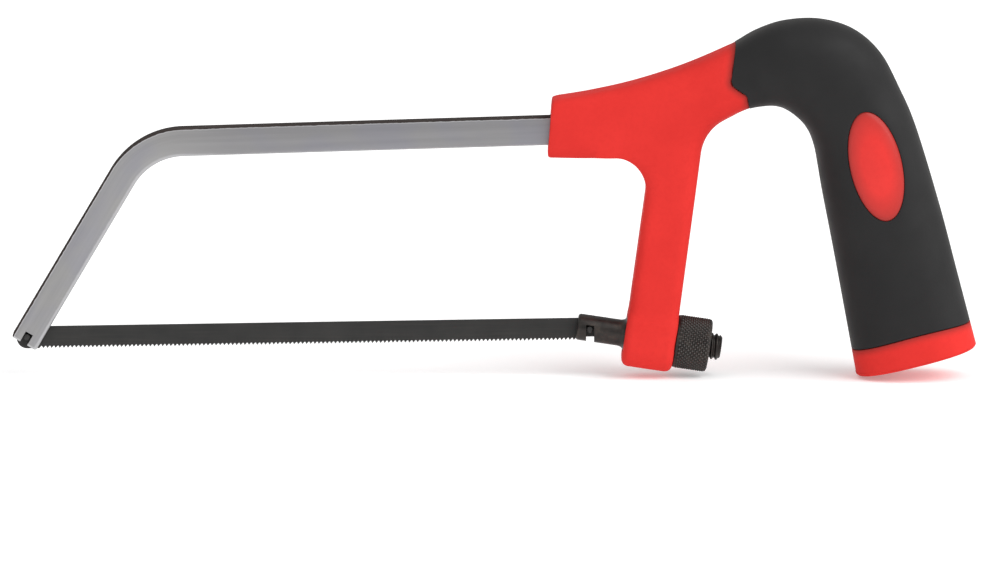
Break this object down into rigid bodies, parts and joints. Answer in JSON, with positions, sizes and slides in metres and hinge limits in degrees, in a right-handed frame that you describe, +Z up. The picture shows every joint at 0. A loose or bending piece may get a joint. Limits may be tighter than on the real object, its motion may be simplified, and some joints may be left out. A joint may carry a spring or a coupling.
{
  "type": "junior hacksaw",
  "caption": "Junior hacksaw with a bent steel bar, a pistol grip with a soft sleeve, a pin-end blade and a knurled nut that tensions it.",
  "frame": {"origin": "under the middle of the saw's length, in its plane of symmetry, level with its lowest point", "axes": "+X from the front of the saw towards the grip, +Y to the saw's right side, +Z up with the blade below the bar"},
  "size_m": [0.248, 0.0254, 0.0928],
  "materials": {
    "nickel_bar": "nickel grey with a fine drawn grain, darker on the outer narrow edge",
    "red_moulding": "satin moulded plastic",
    "badge_red": "smooth satin plastic, plain",
    "soft_grip": "matt soft-touch elastomer",
    "blade_steel": "black hardened strip, matt",
    "pin_steel": "plain ground pin",
    "black_oxide": "oiled black oxide"
  },
  "bodies": {
    "frame": {"frame_bar": "nickel_bar", "handle_core": "red_moulding", "grip_sleeve": "soft_grip", "end_cap": "red_moulding", "badge_left": "badge_red", "badge_right": "badge_red"},
    "nut": {"tension_nut": "black_oxide"},
    "bolt": {"tension_bolt": "black_oxide"},
    "blade": {"saw_blade": "blade_steel", "blade_pin_front": "pin_steel", "blade_pin_rear": "pin_steel"}
  },
  "joints": [
    {"name": "nut_spin", "type": "hinge", "parent": "frame", "child": "nut", "pos_m": [0.05101, 0, 0.00802], "axis": [0.9893, 0, -0.1461], "range_deg": [0, 900]},
    {"name": "bolt_slide", "type": "slide", "parent": "frame", "child": "bolt", "axis": [-0.9893, 0, 0.1461], "range_m": [0, 0.003]},
    {"name": "blade_unhook", "type": "hinge", "parent": "bolt", "child": "blade", "pos_m": [0.0244, 0, 0.01195], "axis": [0, -1, 0], "range_deg": [0, 2.11]}
  ],
  "couplings": [
    {"joint": "bolt_slide", "follows": "nut_spin", "m_per_rad": 0.00019098},
    {"joint": "blade_unhook", "follows": "nut_spin", "ratio": 0.0023339}
  ]
}
